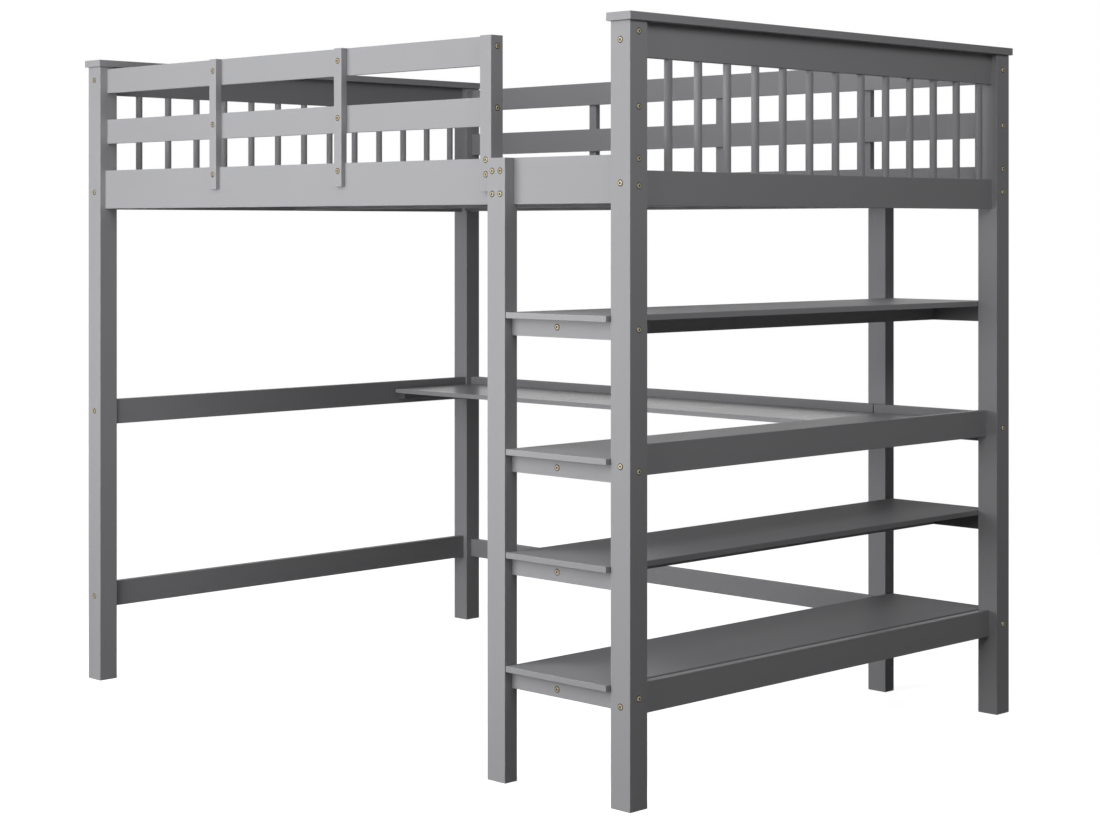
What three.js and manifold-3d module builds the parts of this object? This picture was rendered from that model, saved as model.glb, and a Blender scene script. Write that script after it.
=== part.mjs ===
// A loft bed in painted softwood, bolted together. A desk runs along the back under the bed,
// and a bookshelf tower stands under the right end. The shelf boards reach out past the
// front, where they are the steps up to the bed.
//
// Millimetres. X runs along the bed towards the shelf end, Y from the ladder side to the
// back, and Z up from the floor. The origin is on the floor, in the middle of the bed.

import * as THREE from 'three';
import { mergeVertices } from 'three/addons/utils/BufferGeometryUtils.js';
import Module from 'manifold-3d';

// Frame and posts
const frameLength = 1984;
const frameWidth = 1448;
const postSide = 55.5;
const postHeight = 1674.5;
const capThickness = 18;
const capOverhang = 7;

// Joints and edges. The gap is what two boards keep where they meet.
const jointGap = 0.3;
const easedEdge = 1.2;
const easedEnd = 0.8;
const edgeSteps = 2;

// Rails, set back from the outer faces of the posts, at the ends by less at the bed than
// lower down. The end bed rails hang a little lower than the side ones.
const railInset = 16.5;
const endRailInset = 15.6;
const deskEndRailInset = 31.2;
const lowEndRailInset = 22.3;
const railThickness = 19;
const bedRailBelowPostTop = 387.2;
const bedRailHeight = 104;
const endRailHeight = 75.5;
const leftEndRailDrop = 2.1;
const rightEndRailDrop = 5;

// Round spindles of the two end panels, each with a thinner tenon at its top
const spindleDiameter = 18.5;
const spindlePitch = 99.7;
const spindleTenonDiameter = 10;
const spindleTenonLength = 12;
const tenonClearance = 0.3;
const firstSpindle = 96.4;
const roundSteps = 16;

// Slatted base, with a beam along the middle under the slats
const ledgerWidth = 28;
const ledgerHeight = 28;
const ledgerLift = 1.5;
const slatWidth = 68;
const slatThickness = 18;
const slatHousing = 2;
const slatEndGap = 2.5;
const slatEndMargin = 12;
const slatMaximumPitch = 150;
const slatBeamWidth = 45;
const slatBeamLift = 1.2;

// Guard rails, their uprights and the post that ends the front guard. The gaps are the open
// heights below each guard rail, and the lifts are taken from the bottom of the bed rail.
// The front guard rails lie further back than the face of the bed rail.
const guardRailHeight = 66;
const guardRailThickness = 14;
const frontGuardSetback = 6.5;
const lowerGuardGap = 73.1;
const upperGuardGap = 72.2;
const guardSlatWidth = 27.5;
const guardSlatThickness = 18;
const guardSlatLift = 46.7;
const guardSlatPitch = 490.2;
const firstFrontGuardSlat = 491.4;
const firstBackGuardSlat = 502.5;
const guardPostWidth = 36;
const guardPostDepth = 38;
const guardPostLift = 28.7;

// Ladder post in front and middle post at the back, which stand proud of the bed rails
const ladderOpening = 305;
const ladderPostWidth = 55.5;
const ladderPostDepth = 39;
const ladderProud = 12;

// Shelf boards, with the cleats and the bearer under each
const lowShelfTop = 262;
const secondShelfTop = 514.6;
const deskShelfTop = 743.9;
const topShelfTop = 1047.8;
const shelfThickness = 13.5;
const shelfSideGap = 2.5;
const shelfBackInset = 3.5;
const cleatDrop = 39;
const cleatThickness = 19;
const cleatSetback = 22.5;
const bearerWidth = 30;
const bearerFromLadderPost = 123.5;

// Rails of the lower frame, each hung below the underside of the shelf at its level
const lowerRailHeight = 67;
const lowBackRailHeight = 55;
const deskEndRailDropLeft = 33;
const deskEndRailDropRight = 26.4;
const deskBackRailDrop = 32.4;
const lowEndRailDrop = 52;
const lowBackRailDrop = 51;
const backRailLap = 21;
const backRailJointGap = 3.5;

// Desk board and what it lies on
const deskThickness = 12.5;
const deskDepth = 325;
const deskEndGap = 2.5;
const deskBearing = 20;
const deskCleatHeight = 19;
const deskCleatThickness = 19;
const deskCleatSetback = 20;
const battenWidth = 45;

// Places worked out from the sizes above
const postOuterX = frameLength / 2;
const postOuterY = frameWidth / 2;
const postInnerX = postOuterX - postSide;
const postInnerY = postOuterY - postSide;
const railOuterY = postOuterY - railInset;
const railInnerY = railOuterY - railThickness;
const endRailOuterX = postOuterX - endRailInset;
const endRailInnerX = endRailOuterX - railThickness;
const deskEndRailInnerX = postOuterX - deskEndRailInset - railThickness;
const bedRailBottom = postHeight - bedRailBelowPostTop;
const bedRailTop = bedRailBottom + bedRailHeight;
const endTopRailBottom = postHeight - endRailHeight;
const lowerGuardBottom = bedRailTop + lowerGuardGap;
const upperGuardBottom = lowerGuardBottom + guardRailHeight + upperGuardGap;
const guardTop = upperGuardBottom + guardRailHeight;
const guardSlatBottom = bedRailBottom + guardSlatLift;
const guardPostBottom = bedRailBottom + guardPostLift;
const ladderPostRight = postInnerX - ladderOpening;
const ladderPostLeft = ladderPostRight - ladderPostWidth;
const ladderFrontY = postOuterY + ladderProud;
const ladderBackY = ladderFrontY - ladderPostDepth;
const guardPostRight = ladderPostLeft - jointGap;
const guardPostLeft = guardPostRight - guardPostWidth;
const backRailJointX = ladderPostLeft + backRailLap;
const cleatOuterY = ladderFrontY - cleatSetback;
const cleatInnerY = cleatOuterY - cleatThickness;
const ledgerBottom = bedRailBottom + ledgerLift;
const ledgerTop = ledgerBottom + ledgerHeight;
const slatBottom = ledgerTop - slatHousing;
const shelfLeft = ladderPostRight + shelfSideGap;
const shelfRight = postInnerX - shelfSideGap;
const deskShelfBottom = deskShelfTop - shelfThickness;
const lowShelfBottom = lowShelfTop - shelfThickness;
const deskBackRailBottom = deskShelfBottom - deskBackRailDrop;
const lowBackRailBottom = lowShelfBottom - lowBackRailDrop;
const deskBack = railInnerY - jointGap;
const deskFront = deskBack - deskDepth;

const wasm = await Module();
wasm.setup();

function paint(colour) {
  return new THREE.MeshStandardMaterial({ color: colour, roughness: 0.5, metalness: 0 });
}

// A rectangle centred on the origin, with rounded corners
function roundedRectangle(width, height, radius) {
  const x = width / 2;
  const y = height / 2;
  const r = Math.min(radius, x / 2, y / 2);
  const shape = new THREE.Shape();
  shape.moveTo(-x + r, -y);
  shape.lineTo(x - r, -y);
  shape.absarc(x - r, -y + r, r, -Math.PI / 2, 0);
  shape.lineTo(x, y - r);
  shape.absarc(x - r, y - r, r, 0, Math.PI / 2);
  shape.lineTo(-x + r, y);
  shape.absarc(-x + r, y - r, r, Math.PI / 2, Math.PI);
  shape.lineTo(-x, -y + r);
  shape.absarc(-x + r, -y + r, r, Math.PI, Math.PI * 1.5);
  return shape;
}

// Turns a form drawn along local Z so that it runs along the named axis
function alongAxis(axis) {
  const x = new THREE.Vector3(1, 0, 0);
  const y = new THREE.Vector3(0, 1, 0);
  const z = new THREE.Vector3(0, 0, 1);
  const columns = { x: [y, z, x], y: [z, x, y], z: [x, y, z] };
  return new THREE.Matrix4().makeBasis(...columns[axis]);
}

// The sizes of a box across its section and along its run, and its middle. A box is given
// as its ranges along X, Y and Z.
function measure(axis, box) {
  const order = { x: ['y', 'z', 'x'], y: ['z', 'x', 'y'], z: ['x', 'y', 'z'] };
  const size = order[axis].map((key) => box[key][1] - box[key][0]);
  const middle = ['x', 'y', 'z'].map((key) => (box[key][0] + box[key][1]) / 2);
  return { size, middle };
}

// A board that fills a box and runs along an axis, with eased long edges and sawn ends
function board(axis, box) {
  const { size, middle } = measure(axis, box);
  const section = roundedRectangle(size[0], size[1], easedEdge);
  const geometry = new THREE.ExtrudeGeometry(section, {
    depth: size[2],
    bevelEnabled: false,
    curveSegments: edgeSteps,
  });
  geometry.translate(0, 0, -size[2] / 2);
  geometry.applyMatrix4(alongAxis(axis));
  geometry.translate(...middle);
  return geometry;
}

// The same board with its end edges eased too, for ends that stay open to view
function easedBoard(axis, box) {
  const { size, middle } = measure(axis, box);
  const section = roundedRectangle(size[0], size[1], easedEdge);
  const geometry = new THREE.ExtrudeGeometry(section, {
    depth: size[2] - 2 * easedEnd,
    bevelThickness: easedEnd,
    bevelSize: easedEnd,
    bevelOffset: -easedEnd,
    bevelSegments: edgeSteps,
    curveSegments: edgeSteps,
  });
  geometry.translate(0, 0, easedEnd - size[2] / 2);
  geometry.applyMatrix4(alongAxis(axis));
  geometry.translate(...middle);
  return geometry;
}

// A plain block, for cutting notches
function block(box) {
  const { size, middle } = measure('z', box);
  const geometry = new THREE.BoxGeometry(...size);
  geometry.translate(...middle);
  return geometry;
}

// A turned form standing on a point, from radii and heights up its side
function turned(x, y, profile) {
  const points = profile.map(([radius, z]) => new THREE.Vector2(radius, z));
  const geometry = new THREE.LatheGeometry(points, roundSteps);
  geometry.rotateX(Math.PI / 2);
  geometry.translate(x, y, 0);
  return geometry;
}

function solidFrom(geometry) {
  const bare = geometry.clone();
  bare.deleteAttribute('normal');
  bare.deleteAttribute('uv');
  const merged = mergeVertices(bare, 1e-3);
  const mesh = new wasm.Mesh({
    numProp: 3,
    vertProperties: new Float32Array(merged.attributes.position.array),
    triVerts: new Uint32Array(merged.index.array),
  });
  return new wasm.Manifold(mesh);
}

function geometryFrom(solid) {
  const mesh = solid.getMesh();
  const geometry = new THREE.BufferGeometry();
  geometry.setAttribute('position', new THREE.BufferAttribute(mesh.vertProperties, 3));
  geometry.setIndex(new THREE.BufferAttribute(mesh.triVerts, 1));
  geometry.computeVertexNormals();
  return geometry;
}

function cut(geometry, cutters) {
  const start = solidFrom(geometry);
  return geometryFrom(cutters.reduce((solid, cutter) => solid.subtract(solidFrom(cutter)), start));
}

function joined(geometries) {
  const solids = geometries.map(solidFrom);
  return geometryFrom(solids.reduce((whole, solid) => whole.add(solid)));
}

// Places from start to finish at an even pitch no wider than the one given
function evenPlaces(start, finish, maximumPitch) {
  const steps = Math.max(1, Math.ceil((finish - start) / maximumPitch));
  return Array.from({ length: steps + 1 }, (_, i) => start + ((finish - start) * i) / steps);
}

// Places from start at a fixed pitch, as many as come before the finish
function pitchedPlaces(start, finish, pitch) {
  const count = Math.floor((finish - start) / pitch) + 1;
  return Array.from({ length: count }, (_, i) => start + i * pitch);
}

const bed = new THREE.Group();
const wood = 0xa3a3a6;

function add(name, geometry, colour = wood) {
  const mesh = new THREE.Mesh(geometry, paint(colour));
  mesh.name = name;
  bed.add(mesh);
}

// The range between two distances from the middle of the bed, on the side that a sign names
function outward(sign, near, far) {
  return [Math.min(sign * near, sign * far), Math.max(sign * near, sign * far)];
}

function across(reach) {
  return [-reach, reach];
}

const ends = [
  { name: 'left', sign: -1, bedRailDrop: leftEndRailDrop },
  { name: 'right', sign: 1, bedRailDrop: rightEndRailDrop },
];
const sides = [
  { name: 'front', sign: -1, guardSetback: frontGuardSetback },
  { name: 'back', sign: 1, guardSetback: 0 },
];
const betweenEnds = across(postInnerX - jointGap);
const betweenSides = across(postInnerY - jointGap);
const railSeat = railOuterY + jointGap;

// Corner posts, with a cap board laid over the two posts of each end
function addPostsAndCaps() {
  const capBottom = postHeight + jointGap;
  for (const end of ends) {
    for (const side of sides) {
      add(`post_${side.name}_${end.name}`, easedBoard('z', {
        x: outward(end.sign, postInnerX, postOuterX),
        y: outward(side.sign, postInnerY, postOuterY),
        z: [0, postHeight],
      }));
    }
    add(`cap_${end.name}`, easedBoard('y', {
      x: outward(end.sign, postInnerX - capOverhang, postOuterX + capOverhang),
      y: across(postOuterY + capOverhang),
      z: [capBottom, capBottom + capThickness],
    }));
  }
}

// End panels: a top rail with blind holes, and a bed rail that carries the spindles. Each
// spindle is glued into the bed rail, and its tenon stands in a hole of the top rail.
function addEndPanels() {
  const shoulder = endTopRailBottom - jointGap;
  const tenonTop = endTopRailBottom + spindleTenonLength;
  const radius = spindleDiameter / 2;
  const tenonRadius = spindleTenonDiameter / 2;
  const holeRadius = tenonRadius + tenonClearance;
  const holeProfile = [
    [0, endTopRailBottom - 1], [holeRadius, endTopRailBottom - 1],
    [holeRadius, tenonTop + jointGap], [0, tenonTop + jointGap],
  ];
  const places = pitchedPlaces(
    -postInnerY + firstSpindle, postInnerY - spindleDiameter, spindlePitch);
  for (const end of ends) {
    const bedRailLow = bedRailBottom - end.bedRailDrop;
    const root = bedRailLow + endRailHeight - spindleTenonLength;
    const spindleProfile = [
      [0, root], [radius, root], [radius, shoulder],
      [tenonRadius, shoulder], [tenonRadius, tenonTop], [0, tenonTop],
    ];
    const x = end.sign * (endRailOuterX - railThickness / 2);
    const thickness = outward(end.sign, endRailInnerX, endRailOuterX);
    const topRail = board(
      'y', { x: thickness, y: betweenSides, z: [endTopRailBottom, postHeight] });
    const bedRail = board(
      'y', { x: thickness, y: betweenSides, z: [bedRailLow, bedRailLow + endRailHeight] });
    add(`end_top_rail_${end.name}`, cut(topRail, places.map((y) => turned(x, y, holeProfile))));
    add(`end_rail_spindles_${end.name}`, joined(
      [bedRail, ...places.map((y) => turned(x, y, spindleProfile))]));
  }
}

// Side bed rails, each with a ledger inside, and the slats. The slats are let into both
// ledgers, and they are glued to the front one. A beam between the end bed rails carries
// their middles.
function addBedBase() {
  const slatTop = slatBottom + slatThickness;
  const ledgerFace = railInnerY - jointGap;
  const ledgerEdge = ledgerFace - ledgerWidth;
  const ledgers = {};
  for (const side of sides) {
    add(`bed_rail_${side.name}`, board('x', {
      x: betweenEnds,
      y: outward(side.sign, railInnerY, railOuterY),
      z: [bedRailBottom, bedRailTop],
    }));
    ledgers[side.name] = board('x', {
      x: betweenEnds,
      y: outward(side.sign, ledgerEdge, ledgerFace),
      z: [ledgerBottom, ledgerTop],
    });
  }
  const places = evenPlaces(
    betweenEnds[0] + slatEndMargin, betweenEnds[1] - slatEndMargin - slatWidth, slatMaximumPitch);
  const slats = places.map((x) => board('y', {
    x: [x, x + slatWidth],
    y: across(railInnerY - slatEndGap),
    z: [slatBottom, slatTop],
  }));
  const housings = places.map((x) => block({
    x: [x - jointGap, x + slatWidth + jointGap],
    y: [ledgerEdge - 1, ledgerFace + 1],
    z: [slatBottom - jointGap, slatTop],
  }));
  add('slat_ledger_front_slats', joined([ledgers.front, ...slats]));
  add('slat_ledger_back', cut(ledgers.back, housings));
  add('slat_beam', board('x', {
    x: across(endRailInnerX - jointGap),
    y: across(slatBeamWidth / 2),
    z: [bedRailBottom + slatBeamLift, slatBottom - jointGap],
  }));
}

// Guard rails, with flat uprights bolted over them and over the bed rail. The front uprights
// are rebated where the bed rail stands further out than the guard rails.
function addGuardRails() {
  const levels = { lower: lowerGuardBottom, upper: upperGuardBottom };
  const runs = { front: [betweenEnds[0], guardPostLeft - jointGap], back: betweenEnds };
  const firstSlats = { front: firstFrontGuardSlat, back: firstBackGuardSlat };
  for (const side of sides) {
    const guardFace = railOuterY - side.guardSetback;
    const slatSeat = guardFace + jointGap;
    for (const [level, bottom] of Object.entries(levels)) {
      add(`guard_rail_${side.name}_${level}`, board('x', {
        x: runs[side.name],
        y: outward(side.sign, guardFace - guardRailThickness, guardFace),
        z: [bottom, bottom + guardRailHeight],
      }));
    }
    const start = -postInnerX + firstSlats[side.name] - guardSlatWidth / 2;
    const places = pitchedPlaces(start, guardPostLeft - guardSlatWidth, guardSlatPitch);
    if (side.name === 'back') {
      places.push(ladderPostLeft - jointGap - guardSlatWidth);
    }
    places.forEach((x, i) => {
      const slat = easedBoard('z', {
        x: [x, x + guardSlatWidth],
        y: outward(side.sign, slatSeat, slatSeat + guardSlatThickness),
        z: [guardSlatBottom, guardTop],
      });
      const rebate = block({
        x: [x - 1, x + guardSlatWidth + 1],
        y: outward(side.sign, slatSeat - 1, railSeat),
        z: [guardSlatBottom - 1, bedRailTop + jointGap],
      });
      const name = `guard_slat_${side.name}_${i + 1}`;
      add(name, side.guardSetback > 0 ? cut(slat, [rebate]) : slat);
    });
  }
}

// The post that ends the front guard rails, rebated to hook over the front of the bed rail
function addGuardPost() {
  const post = easedBoard('z', {
    x: [guardPostLeft, guardPostRight],
    y: outward(-1, postOuterY - guardPostDepth, postOuterY),
    z: [guardPostBottom, guardTop],
  });
  const rebate = block({
    x: [guardPostLeft - 1, guardPostRight + 1],
    y: outward(-1, railInnerY - guardPostDepth, railSeat),
    z: [guardPostBottom - 1, bedRailTop + jointGap],
  });
  add('guard_post', cut(post, [rebate]));
}

// Ladder post and back middle post. Both are notched for the rails that they carry: the
// bed rails at the top, and at the back also the rails of the lower frame.
function addMiddlePosts() {
  const full = [ladderPostLeft - 1, ladderPostRight + 1];
  const upToJoint = [ladderPostLeft - 1, backRailJointX + jointGap];
  function notch(side, x, bottom, top) {
    return block({
      x,
      y: outward(side.sign, ladderBackY - 1, railSeat),
      z: [bottom - jointGap, top + jointGap],
    });
  }
  function post(side) {
    return easedBoard('z', {
      x: [ladderPostLeft, ladderPostRight],
      y: outward(side.sign, ladderBackY, ladderFrontY),
      z: [0, bedRailTop],
    });
  }
  const [front, back] = sides;
  add('ladder_post', cut(post(front), [
    notch(front, full, bedRailBottom, bedRailTop),
  ]));
  add('back_middle_post', cut(post(back), [
    notch(back, full, bedRailBottom, bedRailTop),
    notch(back, full, deskBackRailBottom, deskBackRailBottom + lowerRailHeight),
    notch(back, upToJoint, lowBackRailBottom, lowBackRailBottom + lowBackRailHeight),
  ]));
}

// Shelf tower: four boards from the steps in front to the back, each on a front cleat, a
// back cleat and a bearer between them
function addShelves() {
  const shelves = [
    { name: 'low', top: lowShelfTop },
    { name: 'second', top: secondShelfTop },
    { name: 'desk', top: deskShelfTop },
    { name: 'top', top: topShelfTop },
  ];
  const cleatRun = [ladderPostRight + jointGap, postInnerX - jointGap];
  const bearerLeft = ladderPostRight + bearerFromLadderPost;
  for (const shelf of shelves) {
    const atDesk = shelf.name === 'desk';
    const back = atDesk ? deskBack : postOuterY - shelfBackInset;
    const backCleatOuter = atDesk ? deskBack : cleatOuterY;
    const backCleatInner = backCleatOuter - cleatThickness;
    const bottom = shelf.top - shelfThickness;
    const under = [bottom - cleatDrop, bottom - jointGap];
    add(`shelf_${shelf.name}`, easedBoard(
      'y', { x: [shelfLeft, shelfRight], y: [-ladderFrontY, back], z: [bottom, shelf.top] }));
    add(`cleat_front_${shelf.name}`, board(
      'x', { x: cleatRun, y: [-cleatOuterY, -cleatInnerY], z: under }));
    add(`cleat_back_${shelf.name}`, board(
      'x', { x: cleatRun, y: [backCleatInner, backCleatOuter], z: under }));
    add(`bearer_${shelf.name}`, board('y', {
      x: [bearerLeft, bearerLeft + bearerWidth],
      y: [-cleatInnerY + jointGap, backCleatInner - jointGap],
      z: under,
    }));
  }
}

// Rails of the lower frame, at both ends and along the back
function addLowerRails() {
  const endRails = [
    { name: 'low_left', inset: lowEndRailInset, drop: lowEndRailDrop },
    { name: 'desk_left', inset: deskEndRailInset, drop: deskEndRailDropLeft },
    { name: 'low_right', inset: lowEndRailInset, drop: lowEndRailDrop },
    { name: 'desk_right', inset: deskEndRailInset, drop: deskEndRailDropRight },
  ];
  for (const rail of endRails) {
    const sign = rail.name.endsWith('left') ? -1 : 1;
    const shelfBottom = rail.name.startsWith('low') ? lowShelfBottom : deskShelfBottom;
    const bottom = shelfBottom - rail.drop;
    const outer = postOuterX - rail.inset;
    add(`end_rail_${rail.name}`, board('y', {
      x: outward(sign, outer - railThickness, outer),
      y: betweenSides,
      z: [bottom, bottom + lowerRailHeight],
    }));
  }
  const y = [railInnerY, railOuterY];
  const toJoint = [betweenEnds[0], backRailJointX];
  const fromJoint = [backRailJointX + backRailJointGap, betweenEnds[1]];
  const lowLevel = [lowBackRailBottom, lowBackRailBottom + lowBackRailHeight];
  const deskLevel = [deskBackRailBottom, deskBackRailBottom + lowerRailHeight];
  add('back_rail_low', board('x', { x: toJoint, y, z: lowLevel }));
  add('back_rail_desk', board('x', { x: toJoint, y, z: deskLevel }));
  add('back_rail_shelf', board('x', { x: fromJoint, y, z: deskLevel }));
}

// Desk board, level with the third shelf, on a cleat at the left end, one along the back
// rail, and a batten under the joint with the shelf
function addDesk() {
  const deskLeft = -postInnerX + deskEndGap;
  const deskRight = shelfLeft - jointGap;
  const deskLevel = [deskShelfBottom, deskShelfBottom + deskThickness];
  const cleatTop = deskShelfBottom - jointGap;
  const cleatLevel = [cleatTop - deskCleatHeight, cleatTop];
  const backCleatFront = deskBack - deskCleatThickness;
  const cleatEnd = Math.min(backCleatFront, postInnerY) - jointGap;
  const cleatRun = [deskFront + deskCleatSetback, cleatEnd];
  const battenLeft = deskRight - battenWidth / 2;
  add('desk_board', easedBoard(
    'x', { x: [deskLeft, deskRight], y: [deskFront, deskBack], z: deskLevel }));
  add('desk_cleat_left', board(
    'y', { x: [jointGap - deskEndRailInnerX, deskLeft + deskBearing], y: cleatRun, z: cleatLevel }));
  add('desk_cleat_back', board(
    'x', { x: [betweenEnds[0], ladderPostRight], y: [backCleatFront, deskBack], z: cleatLevel }));
  add('desk_batten', board(
    'y', { x: [battenLeft, battenLeft + battenWidth], y: cleatRun, z: cleatLevel }));
}

addPostsAndCaps();
addEndPanels();
addBedBase();
addGuardRails();
addGuardPost();
addMiddlePosts();
addShelves();
addLowerRails();
addDesk();

export default bed;
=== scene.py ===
import math
import random

import bpy
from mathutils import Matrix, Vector


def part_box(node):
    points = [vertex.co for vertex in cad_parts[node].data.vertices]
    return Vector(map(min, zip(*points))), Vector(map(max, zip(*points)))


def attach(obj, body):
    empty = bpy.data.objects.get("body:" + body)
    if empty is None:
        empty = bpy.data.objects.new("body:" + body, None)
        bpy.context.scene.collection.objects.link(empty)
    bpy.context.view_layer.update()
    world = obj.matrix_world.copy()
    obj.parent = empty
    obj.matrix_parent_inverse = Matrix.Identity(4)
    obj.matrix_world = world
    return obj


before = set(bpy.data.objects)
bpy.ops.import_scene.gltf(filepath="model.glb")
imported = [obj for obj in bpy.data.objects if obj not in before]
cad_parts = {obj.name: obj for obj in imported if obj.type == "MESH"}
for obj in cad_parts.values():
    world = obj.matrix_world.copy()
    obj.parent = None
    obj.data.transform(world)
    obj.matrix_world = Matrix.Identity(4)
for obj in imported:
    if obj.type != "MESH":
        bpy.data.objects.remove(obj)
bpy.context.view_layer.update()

# Corner posts and caps. Four square posts of jointed pine, sanded and sprayed with a grey
# satin paint, stand at the corners. A cap board is glued over the two posts of each end.

PAINT_LIGHT = (0.388, 0.388, 0.402, 1)
PAINT_DARK = (0.345, 0.345, 0.358, 1)
PAINT_RUBBED = (0.46, 0.46, 0.468, 1)
PAINT_SHINE = 0.12
PAINT_ROUGHNESS = 0.47
BLACK = (0, 0, 0, 1)

# Noise in the paint, from clouds in its tone down to the stipple of the spray gun. Each
# board reads it at a place of its own.
NOISE_SHIFT = 5
CLOUD_SCALE = 3.0
GRAIN_SCALE = 190.0
GRAIN_SQUEEZE = 0.025
STIPPLE_SCALE = 1400.0
RUB_SCALE = 34.0
RUB_START = 0.42
RUB_STOP = 0.7

# How far from an edge the paint is rubbed, and how much each noise changes it.
RUBBED_WITHIN = 0.0008
WHOLE_BEYOND = 0.0032
TONE_BY_CLOUD = 0.7
TONE_BY_GRAIN = 0.35
TONE_BY_BOARD = 0.2
TONE_BY_RUB = 0.4
ROUGHNESS_BY_CLOUD = 0.12
ROUGHNESS_BY_GRAIN = 0.08
ROUGHNESS_BY_RUB = 0.08
HEIGHT_BY_GRAIN = 0.8
HEIGHT_BY_STIPPLE = 0.25
BUMP_STRENGTH = 0.15
BUMP_HEIGHT = 0.0005


def add_node(tree, kind, sockets, **settings):
    """Adds a node with its settings, and then links or fills its sockets."""
    node = tree.nodes.new(kind)
    for key, value in settings.items():
        setattr(node, key, value)
    for key, value in sockets.items():
        if isinstance(value, bpy.types.NodeSocket):
            tree.links.new(value, node.inputs[key])
        else:
            node.inputs[key].default_value = value
    return node


class Reading:
    """A value in a node tree. Maths on readings adds the nodes that it needs."""

    def __init__(self, finish, socket):
        self.finish = finish
        self.socket = socket

    def maths(self, operation, *values):
        return self.finish.node(
            "ShaderNodeMath", dict(enumerate(values)), operation=operation)

    def __add__(self, other):
        return self.maths("ADD", self, other)

    def __radd__(self, other):
        return self.maths("ADD", other, self)

    def __sub__(self, other):
        return self.maths("SUBTRACT", self, other)

    def __rsub__(self, other):
        return self.maths("SUBTRACT", other, self)

    def __mul__(self, other):
        return self.maths("MULTIPLY", self, other)

    def over(self, limit):
        return self.maths("GREATER_THAN", self, limit)

    def least(self, other):
        return self.maths("MINIMUM", self, other)

    def most(self, other):
        return self.maths("MAXIMUM", self, other)


class Finish:
    """The node tree of a material or a world. Its nodes take and give readings."""

    def __init__(self, owner):
        owner.use_nodes = True
        self.owner = owner
        self.tree = owner.node_tree
        self.tree.nodes.clear()

    def node(self, kind, sockets, output=0, **settings):
        sockets = {
            key: value.socket if isinstance(value, Reading) else value
            for key, value in sockets.items()
        }
        return Reading(self, add_node(self.tree, kind, sockets, **settings).outputs[output])

    def place(self):
        return self.node("ShaderNodeTexCoord", {}, output="Object")

    def noise(self, vector, scale, detail, **more):
        return self.node("ShaderNodeTexNoise", {
            "Vector": vector, "Scale": scale, "Detail": detail, **more})

    def parts(self, vector):
        node = add_node(self.tree, "ShaderNodeSeparateXYZ", {0: vector.socket})
        return [Reading(self, socket) for socket in node.outputs]

    def blend(self, factor, first, second):
        return self.node(
            "ShaderNodeMix", {0: factor, 6: first, 7: second}, output=2, data_type="RGBA")

    def ramp(self, value, start, stop):
        return self.node("ShaderNodeMapRange", {
            "Value": value, "From Min": start, "From Max": stop, "To Min": 0.0, "To Max": 1.0,
        }, interpolation_type="SMOOTHSTEP")

    def seen(self):
        """One for rays from the eye, straight, mirrored or through glass, and else zero."""
        path = self.tree.nodes.new("ShaderNodeLightPath")
        straight, mirrored, through = (
            Reading(self, path.outputs[f"Is {kind} Ray"])
            for kind in ("Camera", "Glossy", "Transmission"))
        return straight.most(mirrored).most(through)

    def mixed(self, factor, first, second):
        return self.node("ShaderNodeMixShader", {0: factor, 1: first, 2: second})

    def finish_with(self, shader, output="ShaderNodeOutputMaterial"):
        add_node(self.tree, output, {"Surface": shader.socket})


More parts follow.
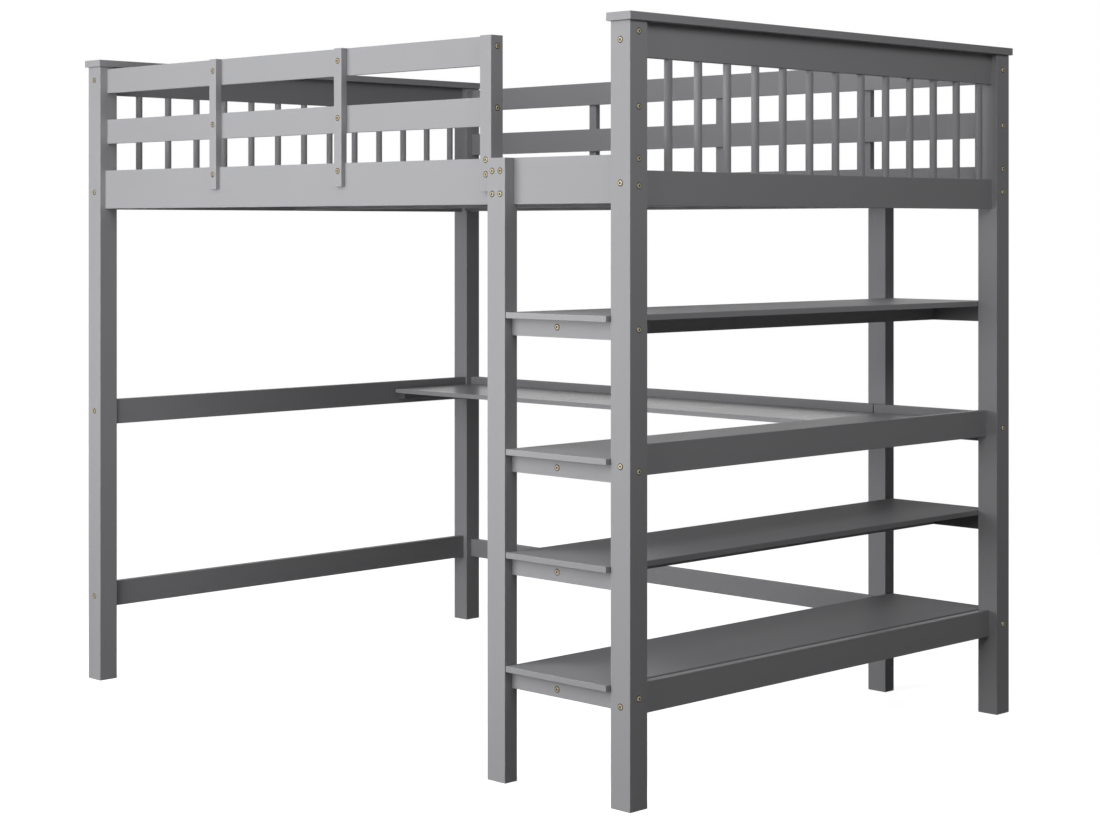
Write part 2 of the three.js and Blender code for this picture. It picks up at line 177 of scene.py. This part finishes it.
def paint_board(
        name, run, beyond=None, shine=PAINT_SHINE, base_roughness=PAINT_ROUGHNESS, painted_shade=0.0):
    """Paints one board. The grain that shows through the paint follows the board's run.

    A node of two kinds of board names the axis and the place beyond which the second kind
    lies, and the run of that kind. Painted shade darkens the first kind where shadow falls on
    it.
    """
    low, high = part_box(name)
    chance = random.Random(name)
    shift = [chance.uniform(-NOISE_SHIFT, NOISE_SHIFT) for _ in range(3)]
    paint = Finish(bpy.data.materials.new("paint_" + name))
    place = paint.place()
    moved = paint.node("ShaderNodeMapping", {"Vector": place, "Location": shift})

    def along(axis):
        squeeze = [GRAIN_SQUEEZE if letter == axis else 1.0 for letter in "xyz"]
        return paint.node("ShaderNodeMapping", {"Vector": moved, "Scale": squeeze})

    drawn = along(run)
    first_kind = 1.0
    if beyond:
        axis, limit, second_run = beyond
        index = "xyz".index(axis)
        high = Vector(limit if i == index else high[i] for i in range(3))
        second_kind = paint.parts(place)[index].over(limit)
        first_kind = 1.0 - second_kind
        drawn = paint.node("ShaderNodeMix", {
            0: second_kind, 4: drawn, 5: along(second_run)}, output=1, data_type="VECTOR")
    cloud = paint.noise(moved, CLOUD_SCALE, 2.0)
    grain = paint.noise(drawn, GRAIN_SCALE, 5.0, Roughness=0.6, Distortion=0.4)
    stipple = paint.noise(moved, STIPPLE_SCALE, 2.0)
    rub = paint.noise(moved, RUB_SCALE, 5.0, Roughness=0.65)

    a, b, c = (
        (value - start).least(stop - value)
        for value, start, stop in zip(paint.parts(place), low, high))
    to_edge = a.least(b).most(a.most(b).least(c))
    edge = 1.0 - paint.ramp(to_edge, RUBBED_WITHIN, WHOLE_BEYOND)
    rubbed = edge * paint.ramp(rub, RUB_START, RUB_STOP) * first_kind

    tone = 0.5 + (cloud - 0.5) * TONE_BY_CLOUD + (grain - 0.5) * TONE_BY_GRAIN
    tone = tone + (chance.random() - 0.5) * TONE_BY_BOARD
    colour = paint.blend(tone, PAINT_DARK, PAINT_LIGHT)
    colour = paint.blend(rubbed * TONE_BY_RUB, colour, PAINT_RUBBED)
    # Painted shade: the colour is pulled towards black to stand in for shadow on the board.
    if painted_shade:
        colour = paint.blend(first_kind * painted_shade, colour, BLACK)
    roughness = base_roughness + (cloud - 0.5) * ROUGHNESS_BY_CLOUD
    roughness = roughness + (grain - 0.5) * ROUGHNESS_BY_GRAIN - rubbed * ROUGHNESS_BY_RUB
    height = grain * HEIGHT_BY_GRAIN + stipple * HEIGHT_BY_STIPPLE
    normal = paint.node("ShaderNodeBump", {
        "Height": height, "Strength": BUMP_STRENGTH, "Distance": BUMP_HEIGHT})
    paint.finish_with(paint.node("ShaderNodeBsdfPrincipled", {
        "Base Color": colour, "Roughness": roughness, "Normal": normal,
        "Specular IOR Level": shine,
    }))
    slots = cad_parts[name].data.materials
    slots.clear()
    slots.append(paint.owner)


for post in ("front_left", "front_right", "back_left", "back_right"):
    paint_board("post_" + post, "z")
for end in ("left", "right"):
    paint_board("cap_" + end, "y")

# End panels. A wide top rail and a bed rail close each end, with a row of thirteen turned
# spindles between them, glued into holes. They are painted as one before they are bolted
# on. The left top rail is painted darker all over, as painted shade for the shadow on its
# inner face.

END_RAIL_HEIGHT = 0.0755
TOP_RAIL_PAINTED_SHADE = {"left": 0.25, "right": 0.0}

for end, painted_shade in TOP_RAIL_PAINTED_SHADE.items():
    paint_board("end_top_rail_" + end, "y", painted_shade=painted_shade)
    spindle_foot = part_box("end_rail_spindles_" + end)[0].z + END_RAIL_HEIGHT
    paint_board("end_rail_spindles_" + end, "y", ("z", spindle_foot, "z"))

# Bed rails and slats. Two deep pine rails carry a ledger each, and thirteen pine slats lie
# across the ledgers, in housings of the back one, over a beam along the middle. The ledgers
# and the beam are out of sight in use, and are painted darker, as painted shade for the
# shadow under the slats and the rails.

LEDGER_WIDTH = 0.028
PAINTED_SHADE_BENEATH = 0.58

for side in ("front", "back"):
    paint_board("bed_rail_" + side, "x")
paint_board("slat_ledger_back", "x", painted_shade=PAINTED_SHADE_BENEATH)
ledger_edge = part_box("slat_ledger_front_slats")[0].y + LEDGER_WIDTH
paint_board(
    "slat_ledger_front_slats", "x", ("y", ledger_edge, "y"), painted_shade=PAINTED_SHADE_BENEATH)
paint_board("slat_beam", "x", painted_shade=PAINTED_SHADE_BENEATH)

# Guard rails. Two rails run above each bed rail, with flat uprights bolted outside them, and
# the front pair ends on a short post that hooks over the bed rail beside the steps.

GUARD_UPRIGHTS = ("front_1", "front_2", "back_1", "back_2", "back_3")

for side in ("front", "back"):
    for level in ("lower", "upper"):
        paint_board(f"guard_rail_{side}_{level}", "x")
for upright in GUARD_UPRIGHTS:
    paint_board("guard_slat_" + upright, "z")
paint_board("guard_post", "z")

# Middle posts. The ladder post in front and its twin at the back are notched for the rails
# that they carry, and bolted through them.

paint_board("ladder_post", "z")
paint_board("back_middle_post", "z")

# Shelf tower. Four veneered boards lie on cleats and a bearer each, and pass in front between
# the ladder post and the corner post, as the steps. The two lower boards are duller than the
# pine and the two upper ones glossier, and the back cleats are painted darker, as painted
# shade for the shadow under the shelves.

SHELF_SHINE = {"low": 0.005, "second": 0.005, "desk": 0.16, "top": 0.20}

for shelf, shine in SHELF_SHINE.items():
    paint_board("shelf_" + shelf, "y", shine=shine)
    paint_board("cleat_front_" + shelf, "x")
    paint_board("cleat_back_" + shelf, "x", painted_shade=PAINTED_SHADE_BENEATH)
    paint_board("bearer_" + shelf, "y")

# Rails of the lower frame. They tie the corner posts together at desk height and near the
# floor, at both ends and along the back. The back rails and the left end's lower rails are
# painted darker, as painted shade for the shade that falls on them.

END_RAIL_PAINTED_SHADE = {"low_left": 0.14, "desk_left": 0.10, "low_right": 0.0, "desk_right": 0.0}
BACK_RAIL_PAINTED_SHADE = 0.14

for rail, painted_shade in END_RAIL_PAINTED_SHADE.items():
    paint_board("end_rail_" + rail, "y", painted_shade=painted_shade)
for rail in ("low", "desk", "shelf"):
    paint_board("back_rail_" + rail, "x", painted_shade=BACK_RAIL_PAINTED_SHADE)

# Desk. One thin board lies along the back on two cleats, and a batten under its right end
# also takes the edge of the shelf beside it. The board is fibreboard with a smooth hard
# lacquer, so it mirrors the light room at a low angle where the pine stays matt.

DESK_SHINE = 0.5
DESK_ROUGHNESS = 0.28

paint_board("desk_board", "x", shine=DESK_SHINE, base_roughness=DESK_ROUGHNESS)
# The cleats and the batten are painted darker, as painted shade for the shadow under the desk.
paint_board("desk_cleat_left", "y", painted_shade=PAINTED_SHADE_BENEATH)
paint_board("desk_cleat_back", "x", painted_shade=PAINTED_SHADE_BENEATH)
paint_board("desk_batten", "y", painted_shade=PAINTED_SHADE_BENEATH)

# Bolts. Zinc-plated furniture bolts with a hexagon socket, yellow from their passivation,
# join rail to post. Their low heads stand about a millimetre and a half proud of the paint,
# and a dark ring round each is painted shadow of the drilled recess that holds it.

BOLT_DIAMETER = 0.0124
BOLT_RIM_DIAMETER = 0.0092
BOLT_HEIGHT = 0.0026
BOLT_BEDDING = 0.0010
SOCKET_ACROSS_CORNERS = 0.0069
SOCKET_DEPTH = 0.0050
SOCKET_FLOOR_SHARE = 0.2
SOCKET_SIDES = 6
HEAD_SIDES = 24
SPIN_SEED = 7

# No recess is cut. A dark disc a little out of the paint is painted shadow round the head.
SHADOW_RING_DIAMETER = 0.0150
SHADOW_RING_LIFT = 0.0003

ZINC_LIGHT = (0.60, 0.55, 0.38, 1)
ZINC_DARK = (0.36, 0.30, 0.19, 1)
# Colours of the painted shadow ring round each bolt head.
SHADOW_RING_LIGHT = (0.085, 0.06, 0.038, 1)
SHADOW_RING_DARK = (0.042, 0.03, 0.02, 1)
TARNISH_SCALE = 260.0
TARNISH_START = 0.3
TARNISH_STOP = 0.7
SPECK_SCALE = 2600.0
SPECK_HEIGHT = 0.0002
SPECK_STRENGTH = 0.2
ROUGHNESS_BY_SPECK = 0.15

# Where the bolts stand. Each list of heights runs from the top down.
END_RAIL_X = 0.9645
SIDE_RAIL_Y = 0.6959
MIDDLE_POST_XS = (0.591, 0.616)
MIDDLE_POST_Y = 0.704
LOW_BACK_RAIL_X = 0.588
GUARD_POST_X = 0.5585
CLEAT_X = 0.770
RIGHT_END_RAILS = (1.634, 1.330, 0.729, 0.220)
LEFT_END_RAILS = (1.638, 1.332, 0.734, 0.2275)
GUARD_AND_BED_RAILS = (1.636, 1.495, 1.385, 1.326)
FRONT_RIGHT_GUARD_AND_BED_RAILS = (1.652, 1.4925, 1.382, 1.324)
STEPS = (1.019, 0.718, 0.2375)
LOWEST_STEP = (0.2375,)
RIGHT_BACK_RAILS = (0.726, 0.228)
DESK_BACK_RAIL = (0.731,)
LOW_BACK_RAIL = (0.225,)
MIDDLE_BED_RAIL = (1.362, 1.3105)
GUARD_POST_BED_RAIL = (1.388, 1.355)
GUARD_POST_RAILS = (1.644, 1.505)
GUARD_SLAT_RAILS = (1.638, 1.500, 1.372)
CLEATS = {"top": 1.018, "desk": 0.711, "second": 0.483, "low": 0.227}

FRONT, BACK, LEFT, RIGHT = (0, -1, 0), (0, 1, 0), (-1, 0, 0), (1, 0, 0)
FACED_SIDE = {FRONT: ("y", 0), BACK: ("y", 1), LEFT: ("x", 0), RIGHT: ("x", 1)}

bolts = []


def bolt(node, facing, across, heights):
    """Puts bolts on the face of a board that looks that way, one above the other."""
    axis, side = FACED_SIDE[facing]
    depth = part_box(node)[side]["xyz".index(axis)]
    for z in heights:
        place = (depth, across, z) if axis == "x" else (across, depth, z)
        bolts.append((Vector(place), Vector(facing)))


for side, facing in (("front", FRONT), ("back", BACK)):
    bolt(f"post_{side}_right", facing, END_RAIL_X, RIGHT_END_RAILS)
    bolt(f"post_{side}_left", facing, -END_RAIL_X, LEFT_END_RAILS)
bolt("post_front_right", RIGHT, -SIDE_RAIL_Y, FRONT_RIGHT_GUARD_AND_BED_RAILS + STEPS)
bolt("post_back_right", RIGHT, SIDE_RAIL_Y, GUARD_AND_BED_RAILS + RIGHT_BACK_RAILS)
bolt("post_front_left", LEFT, -SIDE_RAIL_Y, GUARD_AND_BED_RAILS)
bolt("post_back_left", LEFT, SIDE_RAIL_Y, GUARD_AND_BED_RAILS + DESK_BACK_RAIL + LOW_BACK_RAIL)
for x in MIDDLE_POST_XS:
    bolt("ladder_post", FRONT, x, MIDDLE_BED_RAIL)
    bolt("back_middle_post", BACK, x, MIDDLE_BED_RAIL + DESK_BACK_RAIL)
bolt("back_middle_post", BACK, LOW_BACK_RAIL_X, LOW_BACK_RAIL)
bolt("ladder_post", LEFT, -MIDDLE_POST_Y, STEPS)
bolt("back_middle_post", LEFT, MIDDLE_POST_Y, LOWEST_STEP)
bolt("guard_post", FRONT, GUARD_POST_X, GUARD_POST_BED_RAIL)
bolt("guard_post", RIGHT, -MIDDLE_POST_Y, GUARD_POST_RAILS)
for upright in GUARD_UPRIGHTS:
    low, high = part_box("guard_slat_" + upright)
    facing = FRONT if upright.startswith("front") else BACK
    bolt("guard_slat_" + upright, facing, (low.x + high.x) / 2, GUARD_SLAT_RAILS)
for shelf, z in CLEATS.items():
    bolt("cleat_front_" + shelf, FRONT, CLEAT_X, (z,))
    backing = "back_rail_shelf" if shelf == "desk" else "cleat_back_" + shelf
    bolt(backing, BACK, CLEAT_X, (z,))


def bolt_or_shadow_finish(name, light, dark, roughness, metallic):
    plating_or_shadow = Finish(bpy.data.materials.new(name))
    place = plating_or_shadow.place()
    tarnish = plating_or_shadow.ramp(
        plating_or_shadow.noise(place, TARNISH_SCALE, 3.0), TARNISH_START, TARNISH_STOP)
    speck = plating_or_shadow.noise(place, SPECK_SCALE, 2.0)
    normal = plating_or_shadow.node("ShaderNodeBump", {
        "Height": speck, "Strength": SPECK_STRENGTH, "Distance": SPECK_HEIGHT})
    plating_or_shadow.finish_with(plating_or_shadow.node("ShaderNodeBsdfPrincipled", {
        "Base Color": plating_or_shadow.blend(tarnish, dark, light),
        "Roughness": roughness + (speck - 0.5) * ROUGHNESS_BY_SPECK,
        "Metallic": metallic, "Normal": normal,
    }))
    return plating_or_shadow.owner


class Grower:
    """A Geometry Nodes tree with named inputs for its sizes."""

    def __init__(self, name, sizes):
        self.tree = bpy.data.node_groups.new(name, "GeometryNodeTree")
        for way in ("OUTPUT", "INPUT"):
            self.tree.interface.new_socket(
                "Geometry", in_out=way, socket_type="NodeSocketGeometry")
        self.sockets = {}
        for label, value in sizes.items():
            kind = "NodeSocketInt" if isinstance(value, int) else "NodeSocketFloat"
            socket = self.tree.interface.new_socket(label, in_out="INPUT", socket_type=kind)
            self.sockets[socket.identifier] = value
        self.given = self.tree.nodes.new("NodeGroupInput").outputs

    def node(self, kind, sockets, output=0, **settings):
        return add_node(self.tree, kind, sockets, **settings).outputs[output]

    def times(self, value, share):
        return self.node("ShaderNodeMath", {0: value, 1: share}, operation="MULTIPLY")

    def sum(self, first, second):
        return self.node("ShaderNodeMath", {0: first, 1: second}, operation="ADD")

    def cylinder(self, sides, radius, depth):
        return self.node("GeometryNodeMeshCylinder", {
            "Vertices": sides, "Radius": radius, "Depth": depth})

    def lift(self, shape, height):
        up = self.node("ShaderNodeCombineXYZ", {"Z": height})
        return self.node("GeometryNodeTransform", {"Geometry": shape, "Translation": up})

    def named(self, name, kind):
        return self.node("GeometryNodeInputNamedAttribute", {"Name": name}, data_type=kind)

    def join(self, *shapes):
        joining = self.tree.nodes.new("GeometryNodeJoinGeometry")
        for shape in shapes:
            self.tree.links.new(shape, joining.inputs[0])
        return joining.outputs[0]

    def grow(self, name, points, facings, result):
        """Runs the tree on a cloud of points that each face a way, and keeps a plain mesh."""
        add_node(self.tree, "NodeGroupOutput", {0: result})
        cloud = bpy.data.meshes.new(name + "_places")
        cloud.from_pydata(points, [], [])
        facing = cloud.attributes.new("facing", "FLOAT_VECTOR", "POINT")
        for entry, direction in zip(facing.data, facings):
            entry.vector = direction
        grower = bpy.data.objects.new(name + "_places", cloud)
        bpy.context.scene.collection.objects.link(grower)
        modifier = grower.modifiers.new("grow", "NODES")
        modifier.node_group = self.tree
        for identifier, value in self.sockets.items():
            modifier[identifier] = value
        evaluated = grower.evaluated_get(bpy.context.evaluated_depsgraph_get())
        mesh = bpy.data.meshes.new_from_object(evaluated)
        bpy.data.objects.remove(grower)
        mesh.name = name
        piece = bpy.data.objects.new(name, mesh)
        bpy.context.scene.collection.objects.link(piece)
        return piece


bolt_tree = Grower("bolt_heads", {
    "Head Diameter": BOLT_DIAMETER,
    "Rim Diameter": BOLT_RIM_DIAMETER,
    "Head Height": BOLT_HEIGHT,
    "Socket Across Corners": SOCKET_ACROSS_CORNERS,
    "Socket Depth": SOCKET_DEPTH,
    "Bedding": BOLT_BEDDING,
    "Shadow Ring Diameter": SHADOW_RING_DIAMETER,
    "Shadow Ring Lift": SHADOW_RING_LIFT,
    "Seed": SPIN_SEED,
})
given = bolt_tree.given
head = bolt_tree.node("GeometryNodeMeshCone", {
    "Vertices": HEAD_SIDES,
    "Radius Top": bolt_tree.times(given["Rim Diameter"], 0.5),
    "Radius Bottom": bolt_tree.times(given["Head Diameter"], 0.5),
    "Depth": given["Head Height"],
})
socket_block = bolt_tree.cylinder(
    SOCKET_SIDES, bolt_tree.times(given["Socket Across Corners"], 0.5), given["Socket Depth"])
socket_floor = bolt_tree.times(given["Head Height"], SOCKET_FLOOR_SHARE)
half_socket = bolt_tree.times(given["Socket Depth"], 0.5)
socket_block = bolt_tree.lift(socket_block, bolt_tree.sum(socket_floor, half_socket))
head = bolt_tree.node("GeometryNodeMeshBoolean", {
    "Mesh 1": head, "Mesh 2": socket_block}, operation="DIFFERENCE")
head = bolt_tree.lift(head, bolt_tree.times(given["Bedding"], -1.0))
# A dark disc under the head: painted shadow of the recess that the bolt sits in.
shadow_ring_disc = bolt_tree.cylinder(
    HEAD_SIDES, bolt_tree.times(given["Shadow Ring Diameter"], 0.5), given["Bedding"])
shadow_ring_middle = bolt_tree.times(given["Bedding"], -0.5)
shadow_ring_disc = bolt_tree.lift(shadow_ring_disc, bolt_tree.sum(shadow_ring_middle, given["Shadow Ring Lift"]))
shadow_ring_disc = bolt_tree.node("GeometryNodeStoreNamedAttribute", {
    "Geometry": shadow_ring_disc, "Name": "shadow_ring", "Value": True}, data_type="BOOLEAN", domain="FACE")
head = bolt_tree.join(shadow_ring_disc, head)

turn = bolt_tree.node("FunctionNodeAlignRotationToVector", {
    "Vector": bolt_tree.named("facing", "FLOAT_VECTOR")}, axis="Z")
spin = bolt_tree.node("FunctionNodeRandomValue", {
    "Min": 0.0, "Max": math.tau / SOCKET_SIDES, "Seed": given["Seed"],
}, output="Value", data_type="FLOAT")
spun = bolt_tree.node("FunctionNodeAxisAngleToRotation", {
    "Axis": (0, 0, 1), "Angle": spin})
turn = bolt_tree.node("FunctionNodeRotateRotation", {
    "Rotation": turn, "Rotate By": spun}, rotation_space="LOCAL")
heads = bolt_tree.node("GeometryNodeInstanceOnPoints", {
    "Points": given["Geometry"], "Instance": head, "Rotation": turn})
heads = bolt_tree.node("GeometryNodeRealizeInstances", {"Geometry": heads})

yellow_zinc = bolt_or_shadow_finish(
    "yellow_zinc", ZINC_LIGHT, ZINC_DARK, roughness=0.36, metallic=0.4)
# Near-black matt finish of the painted recess shadow.
painted_recess_shadow = bolt_or_shadow_finish("painted_recess_shadow", SHADOW_RING_LIGHT, SHADOW_RING_DARK, roughness=0.7, metallic=0.0)
heads = bolt_tree.node("GeometryNodeSetMaterial", {"Geometry": heads, "Material": yellow_zinc})
heads = bolt_tree.node("GeometryNodeSetMaterial", {
    "Geometry": heads, "Selection": bolt_tree.named("shadow_ring", "BOOLEAN"), "Material": painted_recess_shadow})
bolt_heads = bolt_tree.grow(
    "bolt_heads", [place for place, _ in bolts], [way for _, way in bolts], heads)
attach(bolt_heads, "root")

# Lights. Large soft lights stand in front of the bed, and weaker ones on its right and above
# it. One behind it is for the views from the back, and the paint doesn't mirror it.


def area_light(name, place, target, size, power, mirrored=True):
    lamp = bpy.data.lights.new(name, "AREA")
    lamp.shape = "RECTANGLE"
    lamp.size, lamp.size_y = size
    lamp.energy = power
    light = bpy.data.objects.new(name, lamp)
    light.location = place
    light.rotation_euler = (Vector(target) - Vector(place)).to_track_quat("-Z", "Y").to_euler()
    light.visible_camera = False
    light.visible_glossy = mirrored
    bpy.context.scene.collection.objects.link(light)


area_light("front_light", (-0.2, -3.0, 2.4), (0, -0.7, 1.1), size=(4.0, 1.6), power=36)
area_light("low_front_light", (-0.4, -3.4, 0.9), (0, -0.7, 0.9), size=(3.0, 1.2), power=56)
area_light("middle_front_light", (0.2, -3.6, 2.0), (0, -0.7, 1.1), size=(4.4, 2.2), power=18)
area_light("high_front_light", (0.4, -2.0, 3.4), (0, -0.4, 0.8), size=(3.0, 1.2), power=7)
area_light("right_front_light", (2.8, -1.8, 2.7), (1, 0, 1.2), size=(1.2, 1.2), power=16)
area_light("right_light", (3.4, 0, 3.2), (1, 0, 1.2), size=(1.5, 1.5), power=12)
area_light("top_light", (0, 0.2, 4.5), (0, 0, 0), size=(4.0, 3.0), power=4)
area_light(
    "back_light", (-2.2, 3.6, 1.0), (-0.2, 0.7, 1.0), size=(3.0, 1.4), power=45, mirrored=False)

# Floor. A pale floor keeps a soft shadow and fades into the white background. It looks
# bright to the eye, but throws little light back up, so that the undersides stay dark.

FLOOR_REACH = 30.0
FLOOR_DROP = 0.0005
FADE_START = 1.6
FADE_STOP = 3.6
FLOOR_TONE = (0.8, 0.8, 0.8, 1)
THROWN_BACK_TONE = (0.08, 0.08, 0.08, 1)
FLOOR_GLOW = 0.88
WHITE = (1, 1, 1, 1)

floor_mesh = bpy.data.meshes.new("floor")
floor_mesh.from_pydata([
    (x * FLOOR_REACH, y * FLOOR_REACH, -FLOOR_DROP)
    for x, y in ((-1, -1), (1, -1), (1, 1), (-1, 1))
], [], [(0, 1, 2, 3)])
floor = bpy.data.objects.new("floor", floor_mesh)
bpy.context.scene.collection.objects.link(floor)
ground = Finish(bpy.data.materials.new("pale_floor"))
distance = ground.node(
    "ShaderNodeVectorMath", {0: ground.place()}, output="Value", operation="LENGTH")
far = ground.ramp(distance, FADE_START, FADE_STOP)
dark = ground.node("ShaderNodeBsdfDiffuse", {"Color": THROWN_BACK_TONE})
pale = ground.node("ShaderNodeBsdfDiffuse", {"Color": FLOOR_TONE})
glow = ground.node("ShaderNodeEmission", {"Color": WHITE, "Strength": FLOOR_GLOW})
white = ground.node("ShaderNodeEmission", {"Color": WHITE, "Strength": 1.0})
near = ground.node("ShaderNodeAddShader", {0: pale, 1: glow})
ground.finish_with(ground.mixed(ground.seen(), dark, ground.mixed(far, near, white)))
floor_mesh.materials.append(ground.owner)

# White background. The eye sees white all round, straight and in mirrors, but the
# background lights nothing, so that the lights alone shade the bed.

world = bpy.data.worlds.new("white_room")
bpy.context.scene.world = world
dome = Finish(world)
unlit, white = (
    dome.node("ShaderNodeBackground", {"Color": WHITE, "Strength": strength})
    for strength in (0.0, 1.0))
dome.finish_with(dome.mixed(dome.seen(), unlit, white), "ShaderNodeOutputWorld")

# Camera. It stands where the photo was taken from, which the edges of the bed gave, and
# looks level. The lens is shifted, for the line of sight meets the photo beside its middle.

PHOTO_WIDTH = 1100
PHOTO_MIDDLE = (550, 412)
SIGHT_POINT = (445.42, 227.69)
FOCAL_PIXELS = 2260.9
SENSOR_WIDTH = 36.0
CAMERA_PLACE = (4.1747, -4.2959, 1.2352)
CAMERA_TURN = 46.372

camera_data = bpy.data.cameras.new("camera")
camera_data.sensor_fit = "HORIZONTAL"
camera_data.sensor_width = SENSOR_WIDTH
camera_data.lens = SENSOR_WIDTH * FOCAL_PIXELS / PHOTO_WIDTH
camera_data.shift_x = (PHOTO_MIDDLE[0] - SIGHT_POINT[0]) / PHOTO_WIDTH
camera_data.shift_y = (SIGHT_POINT[1] - PHOTO_MIDDLE[1]) / PHOTO_WIDTH
camera = bpy.data.objects.new("camera", camera_data)
camera.location = CAMERA_PLACE
camera.rotation_euler = (math.radians(90), 0, math.radians(CAMERA_TURN))
bpy.context.scene.collection.objects.link(camera)
bpy.context.scene.camera = camera
bpy.context.scene.view_settings.view_transform = "Standard"
